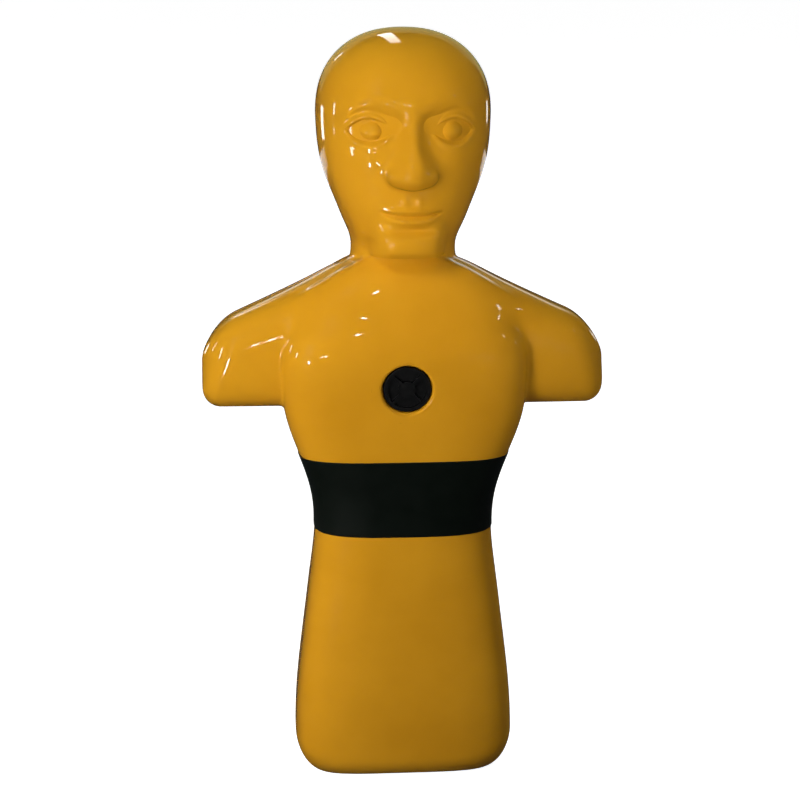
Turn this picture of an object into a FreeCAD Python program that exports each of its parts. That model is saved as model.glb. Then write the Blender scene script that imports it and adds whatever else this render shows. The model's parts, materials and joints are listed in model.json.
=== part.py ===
import FreeCAD, Part
import math
import os

# Water rescue training mannequin: a hollow head, chest and waist without forearms or legs, moulded in
# a front and a rear half, with a screw-in fill plug in the chest and a dark band round the waist.
# Millimetres. +Z is up, the face looks along -Y, and the origin is the centre of the flat base.

os.makedirs("parts", exist_ok=True)

# Moulding
wall = 4.0
section_points = 32

# Base: flat underside, with an elliptical rounding that is wider at the sides than front and back
base_half_x = 149.0
base_half_y = 84.0
base_round_x = 57.0
base_round_y = 34.0
base_round_z = 46.0
base_round_steps = 5
base_power = 4.0

# Torso above the base rounding: height, half width, front y, back y, squareness of the section
torso_stations = (
    (46.0, 149.0, -84.0, 84.0, 4.0),
    (100.0, 147.0, -84.0, 83.5, 4.0),
    (160.0, 141.0, -82.0, 82.0, 4.0),
    (220.0, 133.5, -80.0, 80.0, 3.8),
    (280.0, 126.0, -77.0, 78.0, 3.4),
    (340.0, 119.5, -74.5, 76.0, 3.1),
    (395.0, 123.0, -75.5, 76.0, 3.2),
    (450.0, 139.5, -80.0, 79.0, 3.8),
    (500.0, 155.5, -86.0, 82.0, 4.4),
    (549.0, 162.0, -92.5, 85.0, 4.4),
    (588.0, 162.0, -97.0, 86.0, 4.2),
    (618.0, 154.0, -91.5, 83.0, 3.8),
    (650.0, 132.0, -77.0, 76.0, 3.2),
    (680.0, 102.0, -64.0, 66.0, 2.6),
    (704.0, 73.0, -54.0, 57.0, 2.4),
)

# Shoulders and upper arm stumps, mirrored about x = 0: x, underside z, top z, half depth
arm_stations = (
    (0.0, 512.0, 712.0, 56.0),
    (70.0, 512.0, 706.0, 59.0),
    (115.0, 512.0, 685.0, 60.0),
    (160.0, 512.0, 663.0, 58.0),
    (199.0, 512.0, 645.0, 55.0),
    (224.0, 512.0, 633.0, 51.5),
    (242.0, 512.5, 618.0, 47.0),
    (254.0, 516.5, 602.0, 40.0),
    (261.0, 524.5, 587.0, 31.0),
    (264.0, 536.0, 570.0, 20.0),
)
arm_power = 2.8

# Neck and head: height, half width, front y, back y, squareness of the section
head_stations = (
    (692.0, 71.0, -50.0, 57.0, 2.25),
    (714.0, 68.5, -54.0, 58.0, 2.25),
    (730.0, 68.5, -62.0, 61.0, 2.25),
    (745.0, 72.5, -78.0, 66.0, 2.25),
    (760.0, 79.0, -88.0, 73.0, 2.25),
    (780.0, 87.0, -95.0, 83.0, 2.25),
    (812.0, 100.0, -100.0, 97.0, 2.25),
    (850.0, 109.5, -101.5, 108.0, 2.25),
    (893.0, 112.5, -102.0, 114.0, 2.25),
    (930.0, 104.5, -94.5, 106.0, 2.25),
    (958.0, 89.5, -80.0, 91.5, 2.2),
    (979.0, 68.5, -60.0, 71.5, 2.1),
    (992.0, 46.0, -39.0, 50.5, 2.0),
    (998.5, 23.0, -17.0, 28.5, 2.0),
    (1000.0, 9.0, -4.0, 15.5, 2.0),
)

# Nose, then chin: height, half width, tip y
nose_stations = (
    (804.0, 21.0, -109.0),
    (809.0, 27.0, -117.0),
    (817.0, 29.0, -125.0),
    (826.0, 27.0, -127.5),
    (838.0, 21.0, -124.0),
    (852.0, 16.0, -117.5),
    (868.0, 13.0, -111.0),
    (888.0, 11.0, -104.5),
)
nose_back_y = -60.0
nose_power = 2.4
chin_stations = (
    (716.5, 37.0, -82.0),
    (720.0, 43.0, -92.0),
    (727.0, 46.0, -97.5),
    (738.0, 47.0, -99.5),
    (749.0, 46.5, -98.5),
    (760.0, 44.0, -95.0),
    (772.0, 36.0, -90.0),
)
chin_back_y = -20.0
chin_power = 4.0

# Fill port: its axis leaves the chest forwards and a little downwards
port_x = 0.0
port_y = -92.5
port_z = 549.0
port_tilt_deg = 8.0
pocket_r = 32.0
pocket_depth = 15.6
pocket_chamfer = 4.0
floor_hole_r = 27.2
pocket_reach_out = 30.0

# Threaded neck, its seal and its backing nut
neck_flange_r = 30.5
neck_flange_t = 3.0
neck_barrel_r = 27.0
neck_length = 20.0
washer_t = 1.5
nut_r = 36.0
nut_sides = 8
nut_t = 8.0

# Screw thread shared by the neck and the plug
pitch = 4.0
neck_root_r = 24.1
neck_crest_r = 22.4
plug_crest_r = 23.6
plug_core_r = 21.8
thread_tip_half = 0.55
thread_foot_half = 1.1
thread_overlap = 0.4
thread_turns = 4.0

# Plug and gasket
plug_r = 30.5
plug_flange_t = 6.5
plug_recess_r = 25.0
plug_hub_r = 11.0
plug_recess_depth = 3.6
plug_rib_width = 4.5
plug_rib_angles = (45.0, 135.0)
plug_edge_round = 1.2
plug_barrel_length = 23.5
plug_barrel_wall = 3.0
gasket_in_r = 24.6
gasket_out_r = 29.5
gasket_t = 2.0
running_gap = 0.1

# Bonding strip inside the parting line, and the waist band
strip_half_width = 14.0
strip_t = 2.5
band_low_z = 346.0
band_high_z = 450.0
band_t = 1.2

# Size of the cutting blocks, and the distance that counts as touching
big = 2000.0
touch = 0.01
vec = FreeCAD.Vector


def superellipse(half_u, half_v, power):
    """Points of a rounded rectangle centred on the origin, one full turn."""
    points = []
    for index in range(section_points):
        angle = 2.0 * math.pi * index / section_points
        c = math.cos(angle)
        s = math.sin(angle)
        r = (abs(c) ** power + abs(s) ** power) ** (-1.0 / power)
        points.append((half_u * r * c, half_v * r * s))
    return points


def closed_wire(points):
    curve = Part.BSplineCurve()
    curve.interpolate(Points=points, PeriodicFlag=True)
    return Part.Wire(curve.toShape())


def level_section(z, half_x, front_y, back_y, power, inset):
    """Horizontal section; a positive inset draws it in on every side."""
    half_y = (back_y - front_y) / 2.0 - inset
    mid_y = (back_y + front_y) / 2.0
    outline = superellipse(half_x - inset, half_y, power)
    return closed_wire([vec(u, mid_y + v, z) for u, v in outline])


def arm_section(x, low_z, high_z, half_y, inset):
    """Section across the shoulders at one x."""
    half_z = (high_z - low_z) / 2.0 - inset
    mid_z = (high_z + low_z) / 2.0
    outline = superellipse(half_y - inset, half_z, arm_power)
    return closed_wire([vec(x, u, mid_z + v) for u, v in outline])


def torso(inset):
    sections = []
    round_x = base_round_x - inset
    round_y = base_round_y - inset
    round_z = base_round_z - inset
    for step in range(base_round_steps):
        angle = 0.5 * math.pi * step / base_round_steps
        in_x = round_x * (1.0 - math.sin(angle))
        in_y = round_y * (1.0 - math.sin(angle))
        z = inset + round_z * (1.0 - math.cos(angle))
        half_y = base_half_y - in_y
        sections.append(level_section(z, base_half_x - in_x, -half_y, half_y, base_power, inset))
    top_z = torso_stations[-1][0] - inset
    for z, half_x, front_y, back_y, power in torso_stations:
        sections.append(level_section(min(z, top_z), half_x, front_y, back_y, power, inset))
    return Part.makeLoft(sections, True, False, False)


def arms(inset):
    right = [row for row in reversed(arm_stations) if row[0] > 0.0]
    sections = []
    for x, low_z, high_z, half_y in right:
        sections.append(arm_section(inset - x, low_z, high_z, half_y, inset))
    for x, low_z, high_z, half_y in arm_stations:
        sections.append(arm_section(max(x - inset, 0.0), low_z, high_z, half_y, inset))
    return Part.makeLoft(sections, True, False, False)


def head(inset):
    sections = []
    low_z = head_stations[0][0]
    high_z = head_stations[-1][0]
    scale = (high_z - inset - low_z) / (high_z - low_z)
    for z, half_x, front_y, back_y, power in head_stations:
        level = low_z + (z - low_z) * scale
        sections.append(level_section(level, half_x, front_y, back_y, power, inset))
    return Part.makeLoft(sections, True, False, False)


def feature(stations, back_y, power, inset):
    """A raised part of the face that runs up from a flat underside."""
    low_z = stations[0][0]
    high_z = stations[-1][0]
    scale = (high_z - low_z - 2.0 * inset) / (high_z - low_z)
    sections = []
    for z, half_x, tip_y in stations:
        level = low_z + inset + (z - low_z) * scale
        sections.append(level_section(level, half_x, tip_y, back_y, power, inset))
    return Part.makeLoft(sections, True, False, False)


def body(inset):
    """Whole outer form drawn in by an inset, as one solid."""
    nose = feature(nose_stations, nose_back_y, nose_power, inset)
    chin = feature(chin_stations, chin_back_y, chin_power, inset)
    return torso(inset).fuse([arms(inset), head(inset), nose, chin])


def place_port(shape):
    """Move a shape built round local +Z, with z = 0 on the chest, to the fill port."""
    shape = shape.copy()
    turn = FreeCAD.Rotation(vec(1.0, 0.0, 0.0), 90.0 + port_tilt_deg)
    shape.Placement = FreeCAD.Placement(vec(port_x, port_y, port_z), turn)
    return shape


def disc(radius, low_z, high_z):
    return Part.makeCylinder(radius, high_z - low_z, vec(0.0, 0.0, low_z))


def tube(inner_r, outer_r, low_z, high_z):
    return disc(outer_r, low_z, high_z).cut(disc(inner_r, low_z, high_z))


def thread_ridge(base_r, tip_r, start_z, turns):
    """Right-handed helical ridge of trapezoid section, from base_r to tip_r."""
    foot = thread_foot_half
    tip = thread_tip_half
    corners = [
        vec(base_r, 0.0, start_z - foot),
        vec(tip_r, 0.0, start_z - tip),
        vec(tip_r, 0.0, start_z + tip),
        vec(base_r, 0.0, start_z + foot),
    ]
    profile = Part.makePolygon(corners + corners[:1])
    path = Part.makeHelix(pitch, pitch * turns, min(base_r, tip_r))
    path.translate(vec(0.0, 0.0, start_z))
    return Part.Wire(path).makePipeShell([profile], True, True)


def stack_levels():
    """Levels along the port axis, from the pocket floor outwards."""
    floor_z = -pocket_depth
    flange_low = floor_z + washer_t
    flange_high = flange_low + neck_flange_t
    gasket_low = flange_high + running_gap
    plug_low = gasket_low + gasket_t + running_gap
    return floor_z, flange_low, flange_high, gasket_low, plug_low


def make_shell_halves():
    floor_z = stack_levels()[0]
    outer = body(0.0)
    inner = body(wall)
    well = place_port(disc(pocket_r + wall, floor_z - wall, pocket_reach_out))
    shell = outer.cut(inner.cut(well))
    pocket = disc(pocket_r, floor_z, pocket_reach_out)
    lip_z = 2.0 * pocket_chamfer
    lip = Part.makeCone(pocket_r, pocket_r + lip_z, lip_z, vec(0.0, 0.0, -pocket_chamfer))
    hole = disc(floor_hole_r, floor_z - 2.0 * wall, floor_z)
    for cutter in (pocket, lip, hole):
        shell = shell.cut(place_port(cutter))
    front_space = Part.makeBox(big, big, big, vec(-big / 2.0, -big, -big / 2.0))
    rear_space = Part.makeBox(big, big, big, vec(-big / 2.0, 0.0, -big / 2.0))
    return shell.common(front_space), shell.common(rear_space), inner


def make_seam_strip(inner):
    slab = Part.makeBox(big, 2.0 * strip_half_width, big, vec(-big / 2.0, -strip_half_width, -big / 2.0))
    return inner.common(slab).cut(body(wall + strip_t))


def make_waist_band():
    slab = Part.makeBox(big, big, band_high_z - band_low_z, vec(-big / 2.0, -big / 2.0, band_low_z))
    return torso(-band_t).common(slab).cut(torso(0.0))


def make_fill_neck():
    _, flange_low, flange_high, _, _ = stack_levels()
    low_z = flange_low - neck_length
    neck = disc(neck_flange_r, flange_low, flange_high).fuse(disc(neck_barrel_r, low_z, flange_low))
    neck = neck.cut(disc(neck_root_r, low_z, flange_high))
    start_z = low_z + thread_foot_half + running_gap
    ridge = thread_ridge(neck_root_r + thread_overlap, neck_crest_r, start_z, thread_turns)
    return neck.fuse(ridge), start_z


def make_neck_washer():
    floor_z, flange_low, _, _, _ = stack_levels()
    return tube(neck_barrel_r, neck_flange_r, floor_z, flange_low)


def make_neck_nut():
    high_z = stack_levels()[0] - wall
    corners = []
    for index in range(nut_sides + 1):
        angle = 2.0 * math.pi * (index + 0.5) / nut_sides
        corners.append(vec(nut_r * math.cos(angle), nut_r * math.sin(angle), high_z - nut_t))
    blank = Part.Face(Part.makePolygon(corners)).extrude(vec(0.0, 0.0, nut_t))
    return blank.cut(disc(neck_barrel_r, high_z - nut_t, high_z))


def make_plug_gasket():
    gasket_low = stack_levels()[3]
    return tube(gasket_in_r, gasket_out_r, gasket_low, gasket_low + gasket_t)


def make_fill_plug(neck_start_z):
    plug_low = stack_levels()[4]
    plug_high = plug_low + plug_flange_t
    barrel_low = plug_low - plug_barrel_length
    flange = disc(plug_r, plug_low, plug_high)
    rim_edges = [edge for edge in flange.Edges if edge.CenterOfMass.z > plug_high - touch]
    flange = flange.makeFillet(plug_edge_round, rim_edges)
    recess = tube(plug_hub_r, plug_recess_r, plug_high - plug_recess_depth, plug_high)
    for angle in plug_rib_angles:
        rib = Part.makeBox(2.0 * plug_r, plug_rib_width, plug_recess_depth)
        rib.translate(vec(-plug_r, -plug_rib_width / 2.0, plug_high - plug_recess_depth))
        rib.rotate(vec(0.0, 0.0, 0.0), vec(0.0, 0.0, 1.0), angle)
        recess = recess.cut(rib)
    barrel = tube(plug_core_r - plug_barrel_wall, plug_core_r, barrel_low, plug_low)
    ridge = thread_ridge(plug_core_r - thread_overlap, plug_crest_r, neck_start_z + pitch / 2.0, thread_turns)
    return flange.cut(recess).fuse([barrel, ridge])


def save(node, shape):
    solids = shape.Solids
    assert len(solids) == 1, (node, len(solids))
    assert shape.isValid(), node
    solids[0].exportStep("parts/" + node + ".step")
    box = shape.BoundBox
    print(node, "cm3 %.1f" % (shape.Volume / 1000.0), "z %.1f to %.1f" % (box.ZMin, box.ZMax))


def main():
    front_shell, rear_shell, inner = make_shell_halves()
    save("front_shell", front_shell)
    save("rear_shell", rear_shell)
    save("seam_strip", make_seam_strip(inner))
    save("waist_band", make_waist_band())
    neck, neck_start_z = make_fill_neck()
    save("fill_neck", place_port(neck))
    save("neck_washer", place_port(make_neck_washer()))
    save("neck_nut", place_port(make_neck_nut()))
    save("plug_gasket", place_port(make_plug_gasket()))
    save("fill_plug", place_port(make_fill_plug(neck_start_z)))


main()
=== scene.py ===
import json
import math

import bmesh
import bpy
import numpy as np
from mathutils import Matrix, Vector


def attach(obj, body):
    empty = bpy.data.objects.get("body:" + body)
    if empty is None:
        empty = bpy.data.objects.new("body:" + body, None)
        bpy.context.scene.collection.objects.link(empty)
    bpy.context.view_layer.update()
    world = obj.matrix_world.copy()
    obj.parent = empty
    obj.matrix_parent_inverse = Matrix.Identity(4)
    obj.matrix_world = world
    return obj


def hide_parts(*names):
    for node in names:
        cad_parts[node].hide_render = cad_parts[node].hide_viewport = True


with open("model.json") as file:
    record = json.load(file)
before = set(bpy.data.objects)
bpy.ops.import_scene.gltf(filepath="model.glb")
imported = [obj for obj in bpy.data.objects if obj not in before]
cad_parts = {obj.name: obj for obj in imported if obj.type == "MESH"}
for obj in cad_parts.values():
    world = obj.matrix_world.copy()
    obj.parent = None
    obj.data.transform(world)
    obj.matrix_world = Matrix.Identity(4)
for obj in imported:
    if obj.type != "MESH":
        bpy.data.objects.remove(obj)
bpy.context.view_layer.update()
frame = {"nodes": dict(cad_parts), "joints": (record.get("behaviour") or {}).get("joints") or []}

# A hollow water rescue mannequin. Its skin is the zero level of a smooth field that follows the
# sections of the CAD solids, so the pieces need no fitting. Millimetres until a mesh is made.
MM = 0.001

# ---------------------------------------------------------------- dimensions
WALL = 4.0
SIDES = (-1.0, 1.0)
TINY = 1e-4

# Torso: height, half width, front y, back y, squareness
TORSO = np.array([
    (0.0, 149.0, -84.0, 84.0, 4.0),
    (50.0, 149.0, -84.0, 84.0, 4.0),
    (100.0, 147.0, -84.0, 83.5, 4.0),
    (160.0, 141.0, -82.0, 82.0, 4.0),
    (220.0, 133.5, -80.0, 80.0, 3.8),
    (280.0, 126.0, -77.0, 78.0, 3.4),
    (340.0, 119.5, -74.5, 76.0, 3.1),
    (395.0, 123.0, -75.5, 76.0, 3.2),
    (450.0, 139.5, -80.0, 79.0, 3.8),
    (500.0, 155.5, -86.0, 82.0, 4.4),
    (549.0, 162.0, -92.5, 85.0, 4.4),
    (588.0, 162.0, -97.0, 86.0, 4.2),
    (618.0, 154.0, -91.5, 83.0, 3.8),
    (650.0, 132.0, -77.0, 76.0, 3.2),
    (680.0, 102.0, -64.0, 66.0, 2.6),
    (704.0, 73.0, -54.0, 57.0, 2.4),
])
TORSO_TOP = 712.0
TORSO_TOP_ROUND = 20.0
BASE_ROUND_SIDE = 57.0
BASE_ROUND_FRONT = 34.0

# Shoulders and arm stumps: distance from the middle, underside z, top z, half depth
ARM = np.array([
    (0.0, 512.0, 712.0, 56.0),
    (70.0, 512.0, 706.0, 59.0),
    (115.0, 512.0, 685.0, 60.0),
    (160.0, 512.0, 663.0, 58.0),
    (199.0, 512.0, 645.0, 55.0),
    (235.0, 512.0, 628.5, 51.0),
    (270.0, 512.0, 611.0, 47.0),
])
ARM_END = 264.0
ARM_POWER = 2.8
ARM_ROUND_LOW = 24.0
ARM_ROUND_HIGH = 46.0
ARM_ROUND_CHANGE = (520.0, 610.0)

# Neck and head below its widest level: height, half width, front y, back y
HEAD = np.array([
    (660.0, 76.0, -46.0, 55.0),
    (692.0, 71.0, -50.0, 57.0),
    (714.0, 68.5, -54.0, 58.0),
    (730.0, 68.5, -62.0, 61.0),
    (745.0, 72.5, -78.0, 66.0),
    (760.0, 79.0, -88.0, 73.0),
    (780.0, 87.0, -95.0, 83.0),
    (812.0, 100.0, -100.0, 97.0),
    (850.0, 109.5, -101.5, 108.0),
    (893.0, 112.5, -102.0, 114.0),
])
HEAD_WIDEST = 893.0
HEAD_TOP = 1000.0
HEAD_POWER = 2.25
HEAD_FOOT_ROUND = 12.0
FACE_TURN = math.radians(3.0)
FACE_DEPTH = (-25.0, -60.0)

# The nose's end, as centre and radii: the bulb, and the wing on the +X side
NOSE_BULB = ((0.0, -104.0, 822.5), (24.0, 22.4, 17.5))
NOSE_WING = ((19.0, -99.0, 822.5), (13.5, 16.5, 12.5))

# How widely the forms run into each other; the shoulder's crease widens with height, off its ridge
WING_BLEND = 12.0
NOSE_BLEND = 7.0
NECK_BLEND = 8.0
CREASE_BLEND = 8.0
CREASE_WIDENING = 55.0
CREASE_RISE = (598.0, 680.0)
RIDGE_CLEAR = (20.0, 50.0)


# ---------------------------------------------------------------- curves and blends
def natural_spline(knots, values):
    """A smooth curve through the knots, level beyond both ends."""
    knots = np.asarray(knots, float)
    values = np.asarray(values, float)
    gap = np.diff(knots)
    count = len(knots)
    system = np.eye(count)
    right = np.zeros(count)
    for i in range(1, count - 1):
        system[i, i - 1] = gap[i - 1]
        system[i, i] = 2.0 * (gap[i - 1] + gap[i])
        system[i, i + 1] = gap[i]
        slope_change = (values[i + 1] - values[i]) / gap[i] - (values[i] - values[i - 1]) / gap[i - 1]
        right[i] = 6.0 * slope_change
    bend = np.linalg.solve(system, right)

    def curve(at):
        at = np.clip(at, knots[0], knots[-1])
        i = np.clip(np.searchsorted(knots, at) - 1, 0, count - 2)
        a = (knots[i + 1] - at) / gap[i]
        b = 1.0 - a
        cubic = ((a ** 3 - a) * bend[i] + (b ** 3 - b) * bend[i + 1]) * gap[i] ** 2 / 6.0
        return a * values[i] + b * values[i + 1] + cubic

    return curve


def step_between(low, high, value):
    """A smooth step from 0 at low to 1 at high, which may also be the smaller of the two."""
    t = np.clip((value - low) / (high - low), 0.0, 1.0)
    return t * t * t * (t * (6.0 * t - 15.0) + 10.0)


def smooth_union(first, second, width):
    """The lower of two fields, blended where they differ by less than the width."""
    near = np.maximum(width - np.abs(first - second), 0.0) / width
    return np.minimum(first, second) - near ** 3 * width / 6.0


def round_corner(first, second, radius):
    """Both negative inside; their corner is rounded to the radius."""
    u = np.maximum(first + radius, 0.0)
    v = np.maximum(second + radius, 0.0)
    return np.minimum(np.maximum(first, second), -radius) + np.sqrt(u * u + v * v)


def section_distance(u, v, half_u, half_v, power):
    """Distance from a rounded rectangle, negative inside."""
    a = np.maximum(np.abs(u) / half_u, TINY)
    b = np.maximum(np.abs(v) / half_v, TINY)
    level = (a ** power + b ** power) ** (1.0 / power)
    slope = level ** (1.0 - power) * np.hypot(a ** (power - 1.0) / half_u, b ** (power - 1.0) / half_v)
    return (level - 1.0) / slope


torso_curves = [natural_spline(TORSO[:, 0], TORSO[:, i]) for i in range(1, 5)]
arm_curves = [natural_spline(ARM[:, 0], ARM[:, i]) for i in range(1, 4)]
head_curves = [natural_spline(HEAD[:, 0], HEAD[:, i]) for i in range(1, 4)]


# ---------------------------------------------------------------- the body's field
def torso_field(p):
    half_x, front, back, power = (c(p[:, 2]) for c in torso_curves)
    y = p[:, 1] - (front + back) / 2.0
    side = section_distance(p[:, 0], y, half_x, (back - front) / 2.0, power)
    sideways = np.clip(np.abs(p[:, 0]) / half_x, 0.0, 1.0) ** 4
    radius = BASE_ROUND_FRONT + (BASE_ROUND_SIDE - BASE_ROUND_FRONT) * sideways
    low = round_corner(side, -p[:, 2], radius)
    return round_corner(low, p[:, 2] - TORSO_TOP, TORSO_TOP_ROUND)


def arm_field(p):
    reach = np.abs(p[:, 0])
    low, high, half_y = (c(reach) for c in arm_curves)
    z = p[:, 2] - (low + high) / 2.0
    section = section_distance(p[:, 1], z, half_y, (high - low) / 2.0, ARM_POWER)
    radius = ARM_ROUND_LOW + (ARM_ROUND_HIGH - ARM_ROUND_LOW) * step_between(*ARM_ROUND_CHANGE, p[:, 2])
    return round_corner(section, reach - ARM_END, radius)


def head_field(p, y):
    """Neck and head, half an egg above its widest level; the face's relief shifts the y it is given."""
    level = np.minimum(p[:, 2], HEAD_WIDEST)
    half_x, front, back = (c(level) for c in head_curves)
    half_y = (back - front) / 2.0
    half_z = HEAD_TOP - HEAD_WIDEST
    a = np.maximum(np.abs(p[:, 0]) / half_x, TINY)
    b = np.maximum(np.abs(y - (front + back) / 2.0) / half_y, TINY)
    t = np.maximum(p[:, 2] - HEAD_WIDEST, 0.0) / half_z + TINY
    n = HEAD_POWER
    reach = (a ** n + b ** n + t ** n) ** (1.0 / n)
    slope = reach ** (1.0 - n) * np.sqrt(
        (a ** (n - 1.0) / half_x) ** 2
        + (b ** (n - 1.0) / half_y) ** 2
        + (t ** (n - 1.0) / half_z) ** 2
    )
    return round_corner((reach - 1.0) / slope, HEAD[0, 0] - p[:, 2], HEAD_FOOT_ROUND)


def ball_field(p, centre, radii):
    """Distance from an ellipsoid, negative inside."""
    v = (p - np.array(centre)) / np.array(radii)
    level = np.linalg.norm(v, axis=1) + 1e-6
    slope = np.linalg.norm(v / np.array(radii), axis=1) / level + 1e-6
    return (level - 1.0) / slope


def nose_end_field(p):
    """The bulb at the nose's lower end, with a wing on each side; it overhangs the upper lip."""
    (x, y, z), radii = NOSE_WING
    wings = [ball_field(p, (side * x, y, z), radii) for side in SIDES]
    return smooth_union(ball_field(p, *NOSE_BULB), np.minimum(*wings), WING_BLEND)


def turned_to_face(p):
    """The same points seen from the face, which looks a little to its own left."""
    c = math.cos(FACE_TURN)
    s = math.sin(FACE_TURN)
    return np.stack([p[:, 0] * c + p[:, 1] * s, p[:, 1] * c - p[:, 0] * s, p[:, 2]], axis=1)


def body_field(p, detail=True):
    """Distance from the whole skin, negative inside; without detail the face has only nose and chin."""
    off_ridge = step_between(*RIDGE_CLEAR, np.abs(p[:, 1]))
    crease = CREASE_BLEND + CREASE_WIDENING * step_between(*CREASE_RISE, p[:, 2]) * off_ridge
    trunk = smooth_union(torso_field(p), arm_field(p), crease)
    q = turned_to_face(p)
    relief = face_relief(q[:, 0], q[:, 2], detail) * step_between(*FACE_DEPTH, q[:, 1])
    head = smooth_union(head_field(p, p[:, 1] + relief), nose_end_field(q), NOSE_BLEND)
    return smooth_union(trunk, head, NECK_BLEND)


# ---------------------------------------------------------------- the face, a relief on the head's front
MOUTH_Z = 772.5
MOUTH_HALF = 43.0
EYE_X = 53.0
EYE_HALF = 27.0
UPPER_LID_Z = 878.0
UPPER_LID_RISE = 13.0
LOWER_LID_Z = 876.5
LOWER_LID_DROP = 14.0


def bump(x, z, at, half, height, turn=0.0):
    """A rounded mound or hollow with soft edges; the turn is in degrees."""
    c = math.cos(math.radians(turn))
    s = math.sin(math.radians(turn))
    u = ((x - at[0]) * c + (z - at[1]) * s) / half[0]
    v = (-(x - at[0]) * s + (z - at[1]) * c) / half[1]
    return height * np.exp(-(u * u + v * v))


def crest(distance, width):
    """1 along a line and soft to both sides of it."""
    return np.exp(-(distance / width) ** 2)


def dome(x, z, at, half, height):
    """A ball showing through the surface, with a clear edge."""
    r2 = ((x - at[0]) / half[0]) ** 2 + ((z - at[1]) / half[1]) ** 2
    return height * np.maximum(1.0 - r2, 0.0) ** 0.55


# The nose over its height: how far it stands out, and its half width
nose_height = natural_spline(
    (802.0, 806.0, 810.0, 815.0, 821.0, 827.0, 834.0, 845.0, 858.0, 872.0, 886.0, 898.0, 912.0, 930.0),
    (0.0, 0.6, 6.0, 15.0, 22.0, 24.8, 24.4, 20.8, 15.8, 10.8, 6.6, 3.6, 1.6, 0.4),
)
nose_width = natural_spline(
    (802.0, 812.0, 823.0, 834.0, 846.0, 862.0, 880.0, 896.0, 915.0),
    (18.0, 22.0, 24.5, 23.5, 19.0, 14.5, 12.5, 14.0, 21.0),
)
# The brow's height over x, and how far forward the chin's front lies over z
brow_line = natural_spline(
    (4.0, 11.0, 27.0, 40.0, 55.0, 70.0, 82.0, 92.0),
    (890.0, 898.0, 911.0, 917.0, 915.0, 907.0, 898.0, 889.0),
)
chin_front = natural_spline(
    (714.0, 718.0, 722.0, 727.0, 736.0, 746.0, 754.0, 762.0, 772.0),
    (61.0, 87.0, 97.5, 101.5, 103.2, 101.4, 97.5, 95.0, 94.0),
)


def nose_relief(x, z):
    """The bridge, rounder in section towards the tip."""
    inside = step_between(801.0, 808.0, z) * step_between(932.0, 905.0, z)
    power = 2.0 + 0.8 * step_between(866.0, 836.0, z)
    return nose_height(z) * np.exp(-np.abs(x / nose_width(z)) ** power) * inside


def eye_relief(x, z, side):
    """A ball in a soft almond hollow, with a rounded lid above and below it."""
    u = side * x
    socket = bump(u, z, at=(50.0, 885.0), half=(31.0, 18.0), height=-6.5, turn=-4.0)
    corner = bump(u, z, at=(21.0, 886.0), half=(13.0, 18.0), height=-4.2)
    across = (u - EYE_X) / EYE_HALF
    fade = step_between(1.35, 0.5, np.abs(across))
    upper = UPPER_LID_Z + UPPER_LID_RISE * (1.0 - across ** 2)
    lower = LOWER_LID_Z - LOWER_LID_DROP * (1.0 - across ** 2)
    hollow = step_between(-4.0, 3.5, upper - z) * step_between(-5.5, 4.5, z - lower) * fade
    upper_lid = crest(z - upper - 3.6, width=4.6) * fade
    lower_lid = crest(z - lower + 3.6, width=6.0) * fade
    fold = crest(z - upper - 11.5, width=4.0) * fade
    ball = dome(u, z, at=(50.5, 878.5), half=(14.6, 11.6), height=11.6)
    return socket + corner - 4.2 * hollow + 3.6 * upper_lid + 1.8 * lower_lid - 1.4 * fold + ball


def brow_relief(x, z, side):
    """One brow, which fades out towards the nose and the temple, and its share of the mound between."""
    u = side * x
    along = step_between(-2.0, 26.0, u) * step_between(96.0, 68.0, u)
    between = bump(x, z, at=(0.0, 906.0), half=(27.0, 15.0), height=1.4)
    return 2.4 * along * crest(z - brow_line(u), width=13.0) + between


def mouth_relief(x, z):
    """Two lips on a low mound, and the fold below them."""
    line = MOUTH_Z + 0.0026 * x * x
    parting = crest(z - line, width=2.1) * step_between(MOUTH_HALF, 31.0, np.abs(x))
    upper = bump(x, z, at=(0.0, 778.5), half=(27.0, 4.6), height=4.0)
    lower = crest(z - line + 7.0, width=5.0) * step_between(MOUTH_HALF, 12.0, np.abs(x))
    fold = bump(x, z, at=(0.0, 754.0), half=(26.0, 5.0), height=-5.8)
    mound = bump(x, z, at=(0.0, 776.0), half=(44.0, 25.0), height=4.6)
    return mound - 3.8 * parting + upper + 6.2 * lower + fold


def philtrum_relief(x, z):
    """The groove below the nose, with a ridge on each side."""
    groove = bump(x, z, at=(0.0, 789.0), half=(5.0, 8.0), height=-1.1)
    return groove + sum(bump(x, z, at=(s * 9.5, 789.0), half=(4.2, 9.0), height=1.3) for s in SIDES)


def chin_relief(x, z):
    """Brings the jaw's front forward to the chin's own front over the chin's width."""
    across = np.exp(-np.abs(x / 44.0) ** 9)
    reach = np.maximum(chin_front(z) + head_curves[1](z), 0.0)
    return across * reach * step_between(713.5, 717.5, z) * step_between(776.0, 754.0, z)


def cheek_relief(x, z, side):
    return bump(side * x, z, at=(54.0, 842.0), half=(28.0, 22.0), height=2.2)


def face_relief(x, z, detail):
    """How far the face stands out in front of the plain head."""
    relief = nose_relief(x, z) + chin_relief(x, z)
    if detail:
        relief = relief + mouth_relief(x, z) + philtrum_relief(x, z)
        for side in SIDES:
            relief = relief + eye_relief(x, z, side) + brow_relief(x, z, side)
            relief = relief + cheek_relief(x, z, side)
    return relief


# ---------------------------------------------------------------- meshing the field
GRID_STEP = 5.0
NUDGE = 0.05
LEAST_SLOPE = 0.3
LEAST_SQUARE = 0.05
LONGEST_MOVE = 6.0
RELAX_SHARE = 0.6


def coarse_field(p):
    return body_field(p, detail=False)


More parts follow.
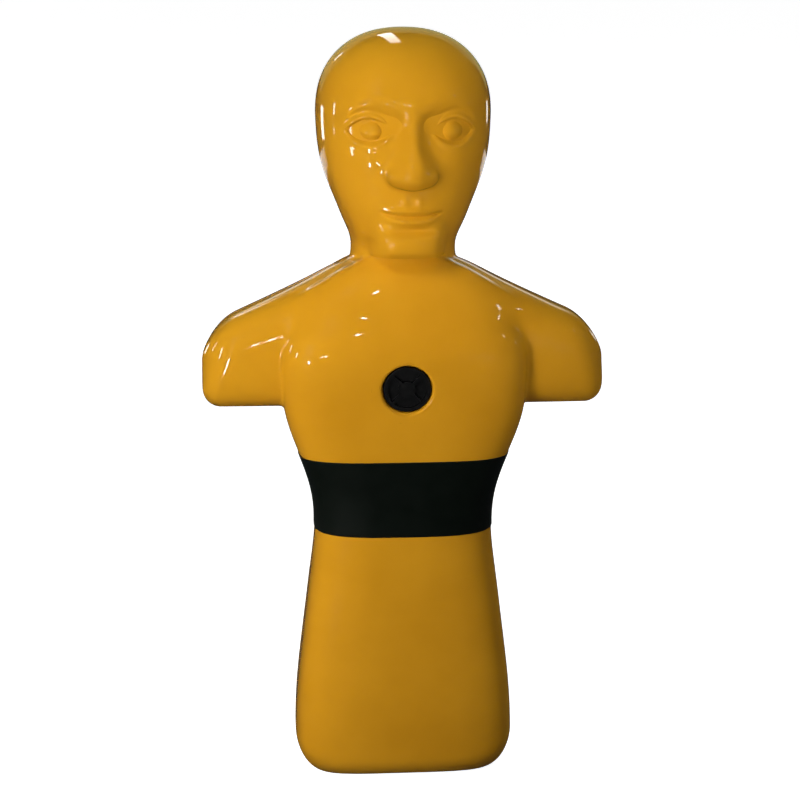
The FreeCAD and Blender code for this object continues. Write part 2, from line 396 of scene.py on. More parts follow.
def gradient(field, p):
    """Central differences, a nudge either way."""
    slopes = []
    for axis in range(3):
        shift = np.zeros(3)
        shift[axis] = NUDGE
        slopes.append((field(p + shift) - field(p - shift)) / (2.0 * NUDGE))
    return np.stack(slopes, axis=1)


def project(field, p, level=0.0, rounds=5, free=None):
    """Newton steps onto field = level, moving only along the free axes."""
    for _ in range(rounds):
        slope = gradient(field, p)
        if free is not None:
            slope = slope * free
        size = np.maximum((slope * slope).sum(axis=1), LEAST_SQUARE)
        move = ((field(p) - level) / size)[:, None] * slope
        length = np.linalg.norm(move, axis=1)
        move *= np.minimum(1.0, LONGEST_MOVE / np.maximum(length, 1e-9))[:, None]
        p = p - move
    return p


def surface_net(field, low, high, step):
    """The field's zero level: one vertex in each crossed cell, quads between them, and those cells."""
    axes = [np.arange(low[i], high[i] + step, step) for i in range(3)]
    shape = [len(a) for a in axes]
    grid = np.stack(np.meshgrid(*axes, indexing="ij"), axis=-1)
    values = np.stack([field(sheet.reshape(-1, 3)).reshape(shape[1:]) for sheet in grid])
    inside = values < 0.0
    cells = [n - 1 for n in shape]
    total = np.zeros(cells + [3])
    crossings = np.zeros(cells)
    for axis in range(3):
        u, v = [a for a in range(3) if a != axis]
        for du, dv in ((0, 0), (0, 1), (1, 0), (1, 1)):
            start = [slice(0, n) for n in cells]
            start[u] = slice(du, du + cells[u])
            start[v] = slice(dv, dv + cells[v])
            end = list(start)
            end[axis] = slice(1, cells[axis] + 1)
            first = values[tuple(start)]
            last = values[tuple(end)]
            crossed = (first < 0.0) != (last < 0.0)
            share = np.where(crossed, first / np.where(crossed, first - last, 1.0), 0.0)
            point = grid[tuple(start)].copy()
            point[..., axis] += share * step
            total += point * crossed[..., None]
            crossings += crossed
    used = crossings > 0
    index = np.full(cells, -1, np.int64)
    index[used] = np.arange(used.sum())
    points = total[used] / crossings[used][:, None]
    quads = []
    for axis in range(3):
        u, v = (axis + 1) % 3, (axis + 2) % 3
        start = [slice(1, n - 1) for n in shape]
        start[axis] = slice(0, shape[axis] - 1)
        end = list(start)
        end[axis] = slice(1, shape[axis])
        first = inside[tuple(start)]
        last = inside[tuple(end)]
        for crossed, order in ((first & ~last, 1), (last & ~first, -1)):
            at = np.argwhere(crossed)
            at[:, u] += 1
            at[:, v] += 1
            ring = []
            for du, dv in ((-1, -1), (0, -1), (0, 0), (-1, 0)):
                cell = at.copy()
                cell[:, u] += du
                cell[:, v] += dv
                ring.append(index[cell[:, 0], cell[:, 1], cell[:, 2]])
            quads.append(np.stack(ring[::order], axis=1))
    return points, np.concatenate(quads), np.argwhere(used)


def neighbour_mean(points, edges):
    """For each point, the mean place of the points that share an edge with it."""
    total = np.zeros_like(points)
    count = np.zeros(len(points))
    for a, b in ((0, 1), (1, 0)):
        np.add.at(total, edges[:, a], points[edges[:, b]])
        np.add.at(count, edges[:, a], 1.0)
    return total / np.maximum(count, 1.0)[:, None]


def relax(field, points, edges, rounds, moving, free=None):
    """Evens out the spacing of the moving points along the surface."""
    for _ in range(rounds):
        shift = RELAX_SHARE * (neighbour_mean(points, edges) - points) * moving[:, None]
        if free is not None:
            shift = shift * free
        points = project(field, points + shift, rounds=2, free=free)
    return points


def quad_edges(quads):
    """Each edge of the quads once."""
    pairs = np.concatenate([quads[:, [i, (i + 1) % 4]] for i in range(4)])
    return np.unique(np.sort(pairs, axis=1), axis=0)


# ---------------------------------------------------------------- the fill port's own frame
turn_joint = next(j for j in frame["joints"] if j["name"] == "plug_turn")
PORT = np.array(turn_joint["pos_m"]) / MM
PORT_OUT = np.array(turn_joint["axis"]) / np.linalg.norm(turn_joint["axis"])
PORT_SIDE = np.array((1.0, 0.0, 0.0))
PORT_UP = np.cross(PORT_OUT, PORT_SIDE)
POCKET_R = 32.0
POCKET_DEPTH = 15.6
POCKET_LIP = 5.0
POCKET_FILLET = 1.5
FLOOR_HOLE_R = 27.2
HOLE_BREAK = 0.3
WALL_FOOT = 5.0
LIP_STEPS = 8
FILLET_STEPS = 4
RING_COUNT = 160


def port_polar(p):
    """Distance from the port's axis, angle round it and height along it."""
    v = p - PORT
    side = v @ PORT_SIDE
    up = v @ PORT_UP
    return np.hypot(side, up), np.arctan2(up, side), v @ PORT_OUT


def port_points(radius, angle, height):
    """Points given in the port's polar frame; arrays or numbers."""
    radius, angle, height = np.broadcast_arrays(radius, angle, height)
    return (
        PORT
        + (radius * np.cos(angle))[:, None] * PORT_SIDE
        + (radius * np.sin(angle))[:, None] * PORT_UP
        + height[:, None] * PORT_OUT
    )


def settle_along_port(field, p, level):
    """Slides points along the port's axis until they lie on the field's level."""
    nudge = NUDGE * PORT_OUT
    for _ in range(8):
        slope = (field(p + nudge) - field(p - nudge)) / (2.0 * NUDGE)
        p = p - ((field(p) - level) / np.maximum(slope, LEAST_SLOPE))[:, None] * PORT_OUT
    return p


def stitch(a, b, a_goes_first):
    """Triangles between two loops; a_goes_first(i, j) says which loop takes the next step."""
    faces = []
    i = j = 0
    while i < len(a) or j < len(b):
        if j == len(b) or (i < len(a) and a_goes_first(i, j)):
            faces.append((a[i % len(a)], a[(i + 1) % len(a)], b[j % len(b)]))
            i += 1
        else:
            faces.append((a[i % len(a)], b[(j + 1) % len(b)], b[j % len(b)]))
            j += 1
    return faces


def zip_rings(first, first_angle, second, second_angle):
    """Triangles between two rings of vertices that each go once round the port."""
    a = first[np.argsort(first_angle)]
    b = second[np.argsort(second_angle)]
    a_at = np.append(np.sort(first_angle), first_angle.min() + 2.0 * math.pi)
    b_at = np.append(np.sort(second_angle), second_angle.min() + 2.0 * math.pi)
    return stitch(a, b, lambda i, j: a_at[i + 1] <= b_at[j + 1])


class Sheet:
    """Vertices and faces that are collected bit by bit and made into a mesh at the end."""

    def __init__(self, points, faces):
        self.points = np.asarray(points, float)
        self.faces = []
        self.add_faces(faces)

    def add(self, points):
        """Gives the new points' vertex numbers."""
        start = len(self.points)
        self.points = np.concatenate([self.points, points])
        return np.arange(start, len(self.points))

    def add_rings(self, rings):
        """Closed rings of equal length, joined by quads; gives each ring's vertices."""
        made = [self.add(r) for r in rings]
        for low, high in zip(made, made[1:]):
            self.add_faces(zip(low, np.roll(low, -1), np.roll(high, -1), high))
        return made

    def add_faces(self, faces):
        self.faces += [tuple(int(i) for i in f) for f in faces]

    def open_edges(self):
        """Edges that only one face has, each in that face's direction."""
        seen = {}
        for face in self.faces:
            for a, b in zip(face, face[1:] + face[:1]):
                key = (min(a, b), max(a, b))
                seen[key] = None if key in seen else (a, b)
        return [pair for pair in seen.values() if pair]

    def make(self, name, slopes=None):
        """The mesh object; slopes gives exact outward directions, zero where Blender's own are used."""
        used = np.unique([i for f in self.faces for i in f])
        renumber = np.zeros(len(self.points), int)
        renumber[used] = np.arange(len(used))
        faces = [tuple(int(renumber[i]) for i in f) for f in self.faces]
        mesh = bpy.data.meshes.new(name)
        mesh.from_pydata((self.points[used] * MM).tolist(), [], faces)
        bm = bmesh.new()
        bm.from_mesh(mesh)
        bmesh.ops.recalc_face_normals(bm, faces=bm.faces)
        bm.to_mesh(mesh)
        bm.free()
        mesh.shade_smooth()
        if slopes is not None:
            mesh.normals_split_custom_set_from_vertices(slopes[used].tolist())
        obj = bpy.data.objects.new(name, mesh)
        bpy.context.scene.collection.objects.link(obj)
        return obj


# ---------------------------------------------------------------- the two halves of the skin
GRID_FRONT = 136.0
GRID_BACK = 124.0
GRID_HALF_WIDTH = 276.0
GRID_TOP = 1012.0
FACE_CUTS = 3
KEEP_Y = np.array((1.0, 0.0, 1.0))
KEEP_Z = np.array((1.0, 1.0, 0.0))

# Round the port: faces within CLEAR go, and the edge left by them, within CATCH, moves out to RIM
PORT_CLEAR = 43.0
PORT_RIM = 46.0
PORT_CATCH = 60.0
PORT_FINE = 62.0
PORT_REACH = 40.0
SKIN_RINGS = (44.0, 41.5, 39.0)

# The V of the parting line: distance from the parting plane, and level in the skin's field
SEAM_EDGE = 0.9
SEAM_GAP = 0.06
SEAM_SLACK = 0.01
SEAM_STEPS = ((0.34, -0.16), (SEAM_GAP, -0.6))


def subdivided(points, faces, chosen, cuts):
    """The same skin with the edges between chosen vertices cut up."""
    bm = bmesh.new()
    for p in points:
        bm.verts.new(p)
    bm.verts.ensure_lookup_table()
    for face in faces:
        bm.faces.new([bm.verts[i] for i in face])
    bm.verts.index_update()
    edges = [e for e in bm.edges if chosen[e.verts[0].index] and chosen[e.verts[1].index]]
    bmesh.ops.subdivide_edges(bm, edges=edges, cuts=cuts, use_grid_fill=True)
    bm.verts.index_update()
    new_points = np.array([v.co for v in bm.verts])
    new_faces = [tuple(v.index for v in f.verts) for f in bm.faces]
    new_edges = np.array([[v.index for v in e.verts] for e in bm.edges])
    bm.free()
    return new_points, new_faces, new_edges


def in_face(p):
    """The part of the head's front that carries the fine relief."""
    return (np.abs(p[:, 0]) < 86.0) & (p[:, 2] > 706.0) & (p[:, 2] < 924.0) & (p[:, 1] < -50.0)


def near_port(p, radius):
    """Within the radius of the port's axis, and not on the back."""
    distance, _, height = port_polar(p)
    return (distance < radius) & (np.abs(height) < PORT_REACH)


def near_crease(p):
    """Where the chest's side wall meets the arm stump, and the neck's foot."""
    beside_chest = (np.abs(np.abs(p[:, 0]) - 160.0) < 22.0) & (p[:, 2] > 500.0) & (p[:, 2] < 628.0)
    beside_neck = (np.abs(p[:, 2] - 707.0) < 17.0) & (np.abs(p[:, 0]) < 92.0)
    return beside_chest | beside_neck


def open_round_port(sheet, field, level):
    """Takes the faces round the port away, pulls the edge that is left onto a circle and gives it."""
    inside = near_port(sheet.points, PORT_CLEAR)
    sheet.faces = [f for f in sheet.faces if not any(inside[i] for i in f)]
    ring = np.unique([i for pair in sheet.open_edges() for i in pair])
    ring = ring[near_port(sheet.points[ring], PORT_CATCH)]
    _, angle, height = port_polar(sheet.points[ring])
    sheet.points[ring] = settle_along_port(field, port_points(PORT_RIM, angle, height), level)
    return ring, angle


def surface_ring(field, radius, angles, level):
    """A circle round the port's axis, laid onto the field's level."""
    return settle_along_port(field, port_points(radius, angles, np.zeros(len(angles))), level)


def arc(steps, start=0):
    """The angles of a quarter turn, from nought to a right angle."""
    return [0.5 * math.pi * i / steps for i in range(start, steps + 1)]


def pocket_rings(angles):
    """From the skin over the lip into the pocket, through its floor and back up to the inner face."""
    floor = -POCKET_DEPTH
    lip_r = POCKET_R + POCKET_LIP
    well_r = POCKET_R + WALL
    root_r = well_r + POCKET_LIP
    rings = [surface_ring(body_field, r, angles, 0.0) for r in (*SKIN_RINGS, lip_r)]
    lip_height = port_polar(rings[-1])[2]
    for turn in arc(LIP_STEPS, 1):
        radius = lip_r - POCKET_LIP * math.sin(turn)
        rings.append(port_points(radius, angles, lip_height - POCKET_LIP * (1.0 - math.cos(turn))))
    rings.append(port_points(POCKET_R, angles, floor + WALL_FOOT))
    for turn in arc(FILLET_STEPS):
        radius = POCKET_R - POCKET_FILLET * (1.0 - math.cos(turn))
        rings.append(port_points(radius, angles, floor + POCKET_FILLET * (1.0 - math.sin(turn))))
    hole_edge = FLOOR_HOLE_R + HOLE_BREAK
    rings.append(port_points(hole_edge, angles, floor))
    rings.append(port_points(FLOOR_HOLE_R, angles, floor - HOLE_BREAK))
    rings.append(port_points(FLOOR_HOLE_R, angles, floor + (HOLE_BREAK - WALL)))
    rings.append(port_points(hole_edge, angles, floor - WALL))
    for turn in reversed(arc(FILLET_STEPS)):
        radius = well_r - POCKET_FILLET * (1.0 - math.cos(turn))
        rings.append(port_points(radius, angles, floor - WALL + POCKET_FILLET * (1.0 - math.sin(turn))))
    inner = surface_ring(coarse_field, root_r, angles, -WALL)
    inner_height = port_polar(inner)[2]
    for turn in reversed(arc(FILLET_STEPS, 1)):
        radius = root_r - POCKET_LIP * math.sin(turn)
        rings.append(port_points(radius, angles, inner_height - POCKET_LIP * (1.0 - math.cos(turn))))
    rings.append(inner)
    return rings


def build_skin():
    """The skin without detail, its quads, and which vertices lie on the parting plane y = 0."""
    half = GRID_STEP / 2.0
    front_cells = math.ceil(GRID_FRONT / GRID_STEP)
    low = np.array((-GRID_HALF_WIDTH, -front_cells * GRID_STEP - half, -2.0 * GRID_STEP))
    high = np.array((GRID_HALF_WIDTH, GRID_BACK, GRID_TOP))
    points, quads, cells = surface_net(coarse_field, low, high, GRID_STEP)
    middle = cells[:, 1] == front_cells
    points[middle, 1] = 0.0
    free = np.ones_like(points)
    free[middle, 1] = 0.0
    points = project(coarse_field, points, free=free)
    everywhere = np.ones(len(points))
    points = relax(coarse_field, points, quad_edges(quads), rounds=5, moving=everywhere, free=free)
    return points, quads, middle


def rim_freedom(on_rim):
    """Which axes each point may move along: one on the rim keeps its y."""
    return np.where(on_rim[:, None], KEEP_Y, 1.0)


def outer_face(skin, faces, on_rim, sign):
    """The detailed outer face, finer on the head's front, round the port and in creases; and its rim."""
    outer = skin.copy()
    outer[on_rim, 1] = sign * SEAM_EDGE
    outer = project(body_field, outer, rounds=4, free=rim_freedom(on_rim))
    if sign < 0.0:
        outer, faces, edges = subdivided(outer, faces, in_face(outer), FACE_CUTS)
        moving = in_face(outer).astype(float)
        outer = relax(body_field, project(body_field, outer), edges, rounds=6, moving=moving)
    again = (near_port(outer, PORT_FINE) | near_crease(outer)) & ~in_face(outer)
    outer, faces, _ = subdivided(outer, faces, again, 1)
    on_rim = np.abs(outer[:, 1]) < SEAM_EDGE + SEAM_SLACK
    outer = project(body_field, outer, rounds=4, free=rim_freedom(on_rim))
    return Sheet(outer, faces), on_rim


def inner_face(skin, faces, on_rim, sign):
    """The plain inner face, one wall further in."""
    start = skin - WALL * gradient(coarse_field, skin)
    inner = project(coarse_field, start, level=-WALL, rounds=6, free=rim_freedom(on_rim))
    inner[on_rim, 1] = sign * SEAM_GAP
    return Sheet(inner, [f[::-1] for f in faces])


def in_order(pairs):
    """The vertices of one closed loop of edges, in order."""
    after = dict(pairs)
    start = min(after)
    loop = [start]
    while after[loop[-1]] != start:
        loop.append(after[loop[-1]])
    return loop


def join_rims(outer_pairs, inner_pairs, points):
    """Triangles across the wall's thickness, between two loops that run the opposite way round."""
    a = in_order(outer_pairs)
    b = in_order([(j, i) for i, j in inner_pairs])
    nearest = np.argmin(np.linalg.norm(points[b] - points[a[0]], axis=1))
    b = b[nearest:] + b[:nearest]

    def shorter_from_outer(i, j):
        step_a = np.linalg.norm(points[a[(i + 1) % len(a)]] - points[b[j % len(b)]])
        step_b = np.linalg.norm(points[b[(j + 1) % len(b)]] - points[a[i % len(a)]])
        return step_a <= step_b

    return stitch(a, b, shorter_from_outer)


def add_rim(sheet, outer_pairs, inner_pairs, sign):
    """The V of the parting line and the wall's cut edge; gives the vertices it starts from."""
    rim = np.unique([i for pair in outer_pairs for i in pair])
    steps = [dict(zip(rim, rim))]
    for offset, level in SEAM_STEPS:
        placed = sheet.points[rim].copy()
        placed[:, 1] = sign * offset
        placed = project(coarse_field, placed, level, free=KEEP_Y)
        steps.append(dict(zip(rim, sheet.add(placed))))
    for low, high in zip(steps, steps[1:]):
        sheet.add_faces([(low[b], low[a], high[a], high[b]) for a, b in outer_pairs])
    ledge = [(steps[-1][a], steps[-1][b]) for a, b in outer_pairs]
    sheet.add_faces(join_rims(ledge, inner_pairs, sheet.points))
    return rim


def add_pocket(sheet, outer_ring, outer_angle, inner_ring, inner_angle):
    """The port's pocket between the holes that were opened in the outer and the inner face."""
    angles = np.arange(RING_COUNT) * 2.0 * math.pi / RING_COUNT - math.pi
    rings = sheet.add_rings(pocket_rings(angles))
    sheet.add_faces(zip_rings(outer_ring, outer_angle, rings[0], angles))
    sheet.add_faces(zip_rings(rings[-1], angles, inner_ring, inner_angle))


def make_half(name, sign, points, quads, middle):
    """One half, in front of the parting plane if the sign is negative and behind it if positive."""
    mine = quads[(points[quads, 1].sum(axis=1) * sign) > 0.0]
    used = np.unique(mine)
    renumber = np.full(len(points), -1)
    renumber[used] = np.arange(len(used))
    skin = points[used]
    faces = renumber[mine]
    on_plane = middle[used]
    sheet, on_rim = outer_face(skin, faces, on_plane, sign)
    inner = inner_face(skin, faces, on_plane, sign)
    shift = len(sheet.points)
    if sign < 0.0:
        outer_ring, outer_angle = open_round_port(sheet, body_field, 0.0)
        inner_ring, inner_angle = open_round_port(inner, coarse_field, -WALL)
    slopes = gradient(body_field, sheet.points)
    outer_pairs = [(a, b) for a, b in sheet.open_edges() if on_rim[a] and on_rim[b]]
    on_inner_rim = np.abs(inner.points[:, 1]) < SEAM_GAP + SEAM_SLACK
    inner_pairs = [(a + shift, b + shift) for a, b in inner.open_edges() if on_inner_rim[a]]
    sheet.add(inner.points)
    sheet.add_faces([[i + shift for i in f] for f in inner.faces])
    rim = add_rim(sheet, outer_pairs, inner_pairs, sign)
    if sign < 0.0:
        add_pocket(sheet, outer_ring, outer_angle, inner_ring + shift, inner_angle)
    known = np.zeros_like(sheet.points)
    known[:shift] = slopes
    known[rim] = 0.0
    return sheet.make(name, known)


skin_points, skin_quads, skin_middle = build_skin()
front_half = make_half("front_shell_skin", -1.0, skin_points, skin_quads, skin_middle)
rear_half = make_half("rear_shell_skin", 1.0, skin_points, skin_quads, skin_middle)
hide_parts("front_shell")
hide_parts("rear_shell")
for piece in (front_half, rear_half):
    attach(piece, "manikin")


# ---------------------------------------------------------------- waist band
BAND_LOW = 346.0
BAND_HIGH = 450.0
BAND_T = 1.2
BAND_STAND = 0.05
BAND_ROUND = 0.5
BAND_COUNT = 320
BAND_ROWS = 30
BAND_INNER_ROWS = 8
BAND_EDGE_STEPS = 3
WAIST_HALF_X = 126.0
WAIST_HALF_Y = 76.0


def band_profile():
    """Round the band's own section: height and how far it stands off the skin."""
    low_edge = []
    for turn in reversed(arc(BAND_EDGE_STEPS)):
        low_in = BAND_ROUND * (1.0 - math.sin(turn))
        low_edge.append((BAND_LOW + low_in, BAND_T - BAND_ROUND * (1.0 - math.cos(turn))))
    span = BAND_HIGH - BAND_LOW - 2.0 * BAND_ROUND
    outside = [(BAND_LOW + BAND_ROUND + span * i / BAND_ROWS, BAND_T) for i in range(1, BAND_ROWS)]
    high_edge = [(BAND_LOW + BAND_HIGH - z, stand) for z, stand in reversed(low_edge)]
    inside = [(z, BAND_STAND) for z in np.linspace(BAND_HIGH, BAND_LOW, BAND_INNER_ROWS)]
    return low_edge + outside + high_edge + inside


def make_band():
    """Each ring starts as an ellipse and moves, at its own height, to its distance from the skin."""
    angles = np.arange(BAND_COUNT) * 2.0 * math.pi / BAND_COUNT
    x = WAIST_HALF_X * np.cos(angles)
    y = WAIST_HALF_Y * np.sin(angles)
    rings = []
    for z, stand in band_profile():
        start = np.stack([x, y, np.full(BAND_COUNT, z)], axis=1)
        rings.append(project(coarse_field, start, stand, rounds=9, free=KEEP_Z))
    sheet = Sheet(np.zeros((0, 3)), [])
    sheet.add_rings(rings + rings[:1])
    return sheet.make("waist_band_strip")


band = make_band()
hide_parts("waist_band")
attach(band, "manikin")


# ---------------------------------------------------------------- materials
def node_material(name):
    material = bpy.data.materials.new(name)
    material.use_nodes = True
    tree = material.node_tree
    return material, tree, tree.nodes["Principled BSDF"]


def link(tree, source, out, target, into):
    tree.links.new(source.outputs[out], target.inputs[into])


def object_noise(tree, scale, detail, seed):
    """Noise in the object's own metres."""
    place = tree.nodes.new("ShaderNodeTexCoord")
    noise = tree.nodes.new("ShaderNodeTexNoise")
    noise.noise_dimensions = "4D"
    noise.inputs["W"].default_value = seed
    noise.inputs["Scale"].default_value = scale
    noise.inputs["Detail"].default_value = detail
    link(tree, place, "Object", noise, "Vector")
    return noise


def add_colour(tree, shader, noise, stops):
    """The noise picks the base colour from the stops."""
    node = tree.nodes.new("ShaderNodeValToRGB")
    for element, (at, colour) in zip(node.color_ramp.elements, stops):
        element.position = at
        element.color = (*colour, 1.0)
    link(tree, noise, "Fac", node, "Fac")
    link(tree, node, "Color", shader, "Base Color")


def add_roughness(tree, shader, noise, low, high, first=0.3, last=0.7):
    """The roughness goes from low to high while the noise goes from first to last."""
    node = tree.nodes.new("ShaderNodeMapRange")
    for socket, value in (("From Min", first), ("From Max", last), ("To Min", low), ("To Max", high)):
        node.inputs[socket].default_value = value
    link(tree, noise, "Fac", node, "Value")
    link(tree, node, "Result", shader, "Roughness")


def add_bump(tree, shader, noise, distance, strength, after=None):
    node = tree.nodes.new("ShaderNodeBump")
    node.inputs["Distance"].default_value = distance
    node.inputs["Strength"].default_value = strength
    link(tree, noise, "Fac", node, "Height")
    if after is not None:
        link(tree, after, "Normal", node, "Normal")
    link(tree, node, "Normal", shader, "Normal")
    return node


def shell_material():
    """Glossy amber moulded skin: faint mottling, smudges, a slow wave and a little orange peel."""
    material, tree, shader = node_material("amber_gloss_skin")
    mottle = object_noise(tree, scale=9.0, detail=3.0, seed=1.0)
    add_colour(tree, shader, mottle, ((0.3, (0.62, 0.284, 0.010)), (0.7, (0.70, 0.331, 0.014))))
    smudge = object_noise(tree, scale=34.0, detail=5.0, seed=2.0)
    add_roughness(tree, shader, smudge, 0.035, 0.085, first=0.35)
    shader.inputs["IOR"].default_value = 1.5
    peel = object_noise(tree, scale=420.0, detail=1.0, seed=3.0)
    wave = object_noise(tree, scale=26.0, detail=1.0, seed=4.0)
    coarse = add_bump(tree, shader, wave, distance=0.0004, strength=0.3)
    add_bump(tree, shader, peel, distance=0.00003, strength=0.4, after=coarse)
    return material


def band_material():
    """Black film with a fine grain."""
    material, tree, shader = node_material("black_band_film")
    mottle = object_noise(tree, scale=40.0, detail=4.0, seed=5.0)
    add_colour(tree, shader, mottle, ((0.3, (0.0010, 0.0026, 0.0013)), (0.75, (0.0022, 0.0044, 0.0026))))
    add_roughness(tree, shader, mottle, 0.42, 0.55)
    grain = object_noise(tree, scale=900.0, detail=2.0, seed=6.0)
    add_bump(tree, shader, grain, distance=0.00004, strength=0.5)
    return material


def plug_material():
    """Black moulded plastic, grained more finely than the band."""
    material, tree, shader = node_material("black_moulded_plastic")
    mottle = object_noise(tree, scale=130.0, detail=4.0, seed=7.0)
    add_colour(tree, shader, mottle, ((0.3, (0.0030, 0.0032, 0.0034)), (0.75, (0.0060, 0.0062, 0.0064))))
    add_roughness(tree, shader, mottle, 0.34, 0.5)
    grain = object_noise(tree, scale=1900.0, detail=2.0, seed=8.0)
    add_bump(tree, shader, grain, distance=0.00003, strength=0.6)
    return material


def rubber_material():
    material, tree, shader = node_material("dark_rubber")
    mottle = object_noise(tree, scale=220.0, detail=3.0, seed=9.0)
    add_colour(tree, shader, mottle, ((0.3, (0.012, 0.012, 0.012)), (0.7, (0.022, 0.021, 0.020))))
    add_roughness(tree, shader, mottle, 0.6, 0.8)
    return material


def strip_material():
    """The skin's plastic without its gloss."""
    material, tree, shader = node_material("amber_raw_plastic")
    mottle = object_noise(tree, scale=60.0, detail=3.0, seed=10.0)
    add_colour(tree, shader, mottle, ((0.3, (0.48, 0.22, 0.02)), (0.7, (0.58, 0.28, 0.03))))
    add_roughness(tree, shader, mottle, 0.45, 0.6)
    return material


def floor_material():
    """Pale paper that glows a little, so that it stays near white."""
    material, _, shader = node_material("pale_floor")
    values = {
        "Base Color": (0.8, 0.8, 0.8, 1.0),
        "Roughness": 0.9,
        "Specular IOR Level": 0.0,
        "Emission Color": (1.0, 1.0, 1.0, 1.0),
        "Emission Strength": 0.95,
    }
    for socket, value in values.items():
        shader.inputs[socket].default_value = value
    return material


skin_look = shell_material()
band_look = band_material()
plug_look = plug_material()
rubber_look = rubber_material()
strip_look = strip_material()
for piece, look in ((front_half, skin_look), (rear_half, skin_look), (band, band_look)):
    piece.data.materials.append(look)
node_looks = {
    "seam_strip": strip_look,
    "fill_neck": plug_look,
    "neck_nut": plug_look,
    "fill_plug": plug_look,
    "neck_washer": rubber_look,
    "plug_gasket": rubber_look,
}
for node_name, look in node_looks.items():
    for material_slot in frame["nodes"][node_name].material_slots:
        material_slot.material = look


# ---------------------------------------------------------------- floor, camera, lights, in metres
def make_floor():
    """A round level floor that sweeps up into a pale surround on every side."""
    sides = 96
    flat = 7.0
    bend = 3.0
    bend_steps = 12
    high = 16.0
    rows = [(flat, 0.0)]
    rows += [(flat + bend * math.sin(t), bend * (1.0 - math.cos(t))) for t in arc(bend_steps, 1)]
    rows.append((flat + bend, high))
    turns = [2.0 * math.pi * i / sides for i in range(sides)]
    corners = [(r * math.cos(t), r * math.sin(t), z) for r, z in rows for t in turns]
    faces = [tuple(range(sides))]
    for low in range(0, sides * (len(rows) - 1), sides):
        for i in range(sides):
            after = (i + 1) % sides
            faces.append((low + i, low + sides + i, low + sides + after, low + after))
    mesh = bpy.data.meshes.new("floor")
    mesh.from_pydata(corners, [], faces)
    mesh.shade_smooth()
    mesh.materials.append(floor_material())
    floor = bpy.data.objects.new("floor", mesh)
    floor.visible_glossy = False
    floor.visible_diffuse = False
    bpy.context.scene.collection.objects.link(floor)


def make_camera():
    azimuth = math.radians(-4.0)
    elevation = math.radians(14.3)
    roll = math.radians(0.1)
    target = Vector((0.0, 0.0, 0.5))
    distance = 2.3
    back = Vector((
        math.sin(azimuth) * math.cos(elevation),
        -math.cos(azimuth) * math.cos(elevation),
        math.sin(elevation),
    ))
    data = bpy.data.cameras.new("camera")
    data.sensor_width = 36.0
    data.lens = 77.49
    data.shift_x = -0.0031
    data.shift_y = 0.0126
    data.clip_end = 200.0
    camera = bpy.data.objects.new("camera", data)
    camera.location = target + distance * back
    look = (-back).to_track_quat("-Z", "Y")
    camera.rotation_euler = (look.to_matrix() @ Matrix.Rotation(roll, 3, "Z")).to_euler()
    bpy.context.scene.collection.objects.link(camera)
    bpy.context.scene.camera = camera


def around(azimuth, elevation, distance, centre):
    """A place round the centre; azimuth 0 is in front of the face and positive towards +X."""
    turn = math.radians(azimuth)
    rise = math.radians(elevation)
    level = distance * math.cos(rise)
    return (
        centre[0] + level * math.sin(turn),
        centre[1] - level * math.cos(turn),
        centre[2] + distance * math.sin(rise),
    )


def area_light(name, place, aim, width, height, radiance, tint=(1.0, 1.0, 1.0)):
    """A rectangle that faces its aim; its power is worked out from its radiance and its area."""
    data = bpy.data.lights.new(name, "AREA")
    data.shape = "RECTANGLE"
    data.size = width
    data.size_y = height
    data.energy = radiance * math.pi * width * height
    data.color = tint
    lamp = bpy.data.objects.new(name, data)
    lamp.location = place
    away = Vector(place) - Vector(aim)
    lamp.rotation_euler = away.to_track_quat("Z", "Y").to_euler()
    lamp.visible_camera = False
    bpy.context.scene.collection.objects.link(lamp)
    return lamp


def make_soft_lights():
    """Broad lights that shade the skin but leave no mirror image in it."""
    warm = (1.0, 0.97, 0.94)
    green = (0.72, 1.0, 0.4)
    foot = (0.0, 0.0, 0.12)
    hip = (0.0, 0.0, 0.25)
    middle = (-0.10, 0.0, 0.30)
    chest = (0.0, 0.0, 0.6)
    face = (0.0, 0.0, 0.86)
    # Name, place, aim, width, height, radiance, spread in degrees, tint
    lights = [
        ("key", (-0.84, -0.92, 0.66), middle, 0.3, 1.0, 4.2, 95.0, warm),
        ("low", (-0.70, -1.00, 0.10), foot, 0.3, 0.4, 0.6, 60.0, warm),
        ("over", (-0.15, 0.1, 2.2), chest, 1.0, 1.0, 1.1, 180.0, green),
        ("face_high", around(-32.0, 36.0, 1.6, face), face, 0.4, 0.4, 0.64, 30.0, warm),
        ("face_low", around(22.0, -8.0, 1.6, face), face, 0.5, 0.5, 0.46, 30.0, warm),
        ("side", around(88.0, 4.0, 1.2, hip), hip, 0.3, 0.6, 1.1, 90.0, warm),
    ]
    for name, place, aim, width, height, radiance, spread, tint in lights:
        lamp = area_light(name, place, aim, width, height, radiance, tint)
        lamp.data.spread = math.radians(spread)
        lamp.visible_glossy = False
    sun_width = math.radians(90.0)
    for name, energy, toward in (("fill", 0.10, (0.6, -1.0, 0.1)), ("back", 3.4, (0.25, 1.0, 0.4))):
        data = bpy.data.lights.new(name, "SUN")
        data.energy = energy
        data.angle = sun_width
        lamp = bpy.data.objects.new(name, data)
        lamp.rotation_euler = Vector(toward).to_track_quat("Z", "Y").to_euler()
        lamp.visible_glossy = False
        bpy.context.scene.collection.objects.link(lamp)


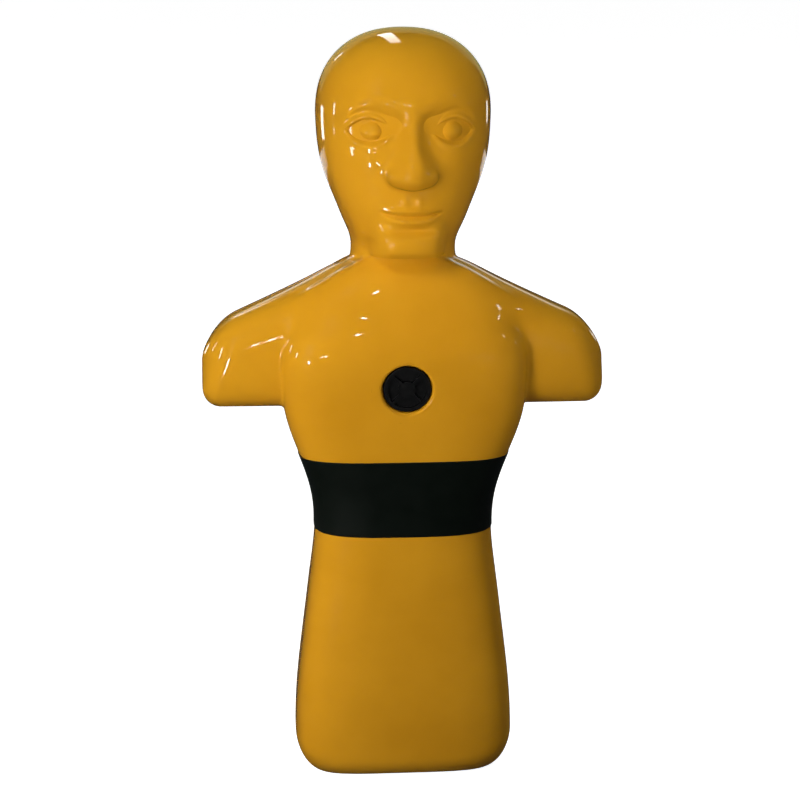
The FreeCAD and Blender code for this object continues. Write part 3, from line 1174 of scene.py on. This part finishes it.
def make_gleams():
    """Small windows and tubes of a room, which show only as mirror images in the gloss."""
    chest = (0.0, 0.0, 0.55)
    head = (0.0, 0.0, 0.9)
    arm = (-0.19, 0.0, 0.57)
    # Name, place, aim, width, height, radiance
    gleams = [
        ("window_left", around(-38.0, -4.0, 1.5, chest), chest, 0.09, 0.12, 40.0),
        ("window_far_left", around(-68.0, 8.0, 1.5, chest), chest, 0.09, 0.20, 16.0),
        ("window_side", around(-96.0, 12.0, 1.5, chest), chest, 0.06, 0.24, 16.0),
        ("pane_one", (-0.45, -1.0, 0.64), arm, 0.03, 0.035, 30.0),
        ("pane_two", (-0.385, -1.0, 0.64), arm, 0.03, 0.035, 30.0),
        ("tube_front", around(-6.0, 34.0, 1.6, chest), chest, 0.06, 0.03, 50.0),
        ("window_right", around(62.0, 32.0, 1.6, chest), chest, 0.04, 0.12, 12.0),
        ("window_far_right", around(86.0, 18.0, 1.6, chest), chest, 0.035, 0.16, 8.0),
        ("tube_back", (-0.07, 0.72, 2.0), head, 0.15, 0.75, 7.0),
        ("strip_left_back", around(-132.0, -5.0, 2.2, head), head, 0.34, 0.30, 7.0),
        ("strip_high_back", around(-150.0, 24.0, 2.2, head), head, 0.10, 0.3, 5.0),
        ("strip_right_back", around(135.0, -3.0, 2.2, head), head, 0.20, 0.22, 5.0),
    ]
    for side in SIDES:
        shoulder = (side * 0.12, 0.0, 0.69)
        gleams.append(("card_%d" % (side + 2.0), (side * 0.24, 0.27, 0.765), shoulder, 0.24, 0.06, 1.1))
    for name, place, aim, width, height, radiance in gleams:
        area_light(name, place, aim, width, height, radiance).visible_diffuse = False
    sky = area_light("sky", (0.0, 1.3, 1.45), (0.0, 0.0, 0.7), 2.4, 1.0, 0.4, (1.0, 1.0, 0.45))
    sky.visible_diffuse = False


def make_world():
    world = bpy.data.worlds.new("studio")
    world.use_nodes = True
    background = world.node_tree.nodes["Background"]
    background.inputs["Color"].default_value = (0.9, 0.95, 1.0, 1.0)
    background.inputs["Strength"].default_value = 0.03
    bpy.context.scene.world = world


make_floor()
make_camera()
make_soft_lights()
make_gleams()
make_world()
bpy.context.scene.view_settings.view_transform = "Standard"
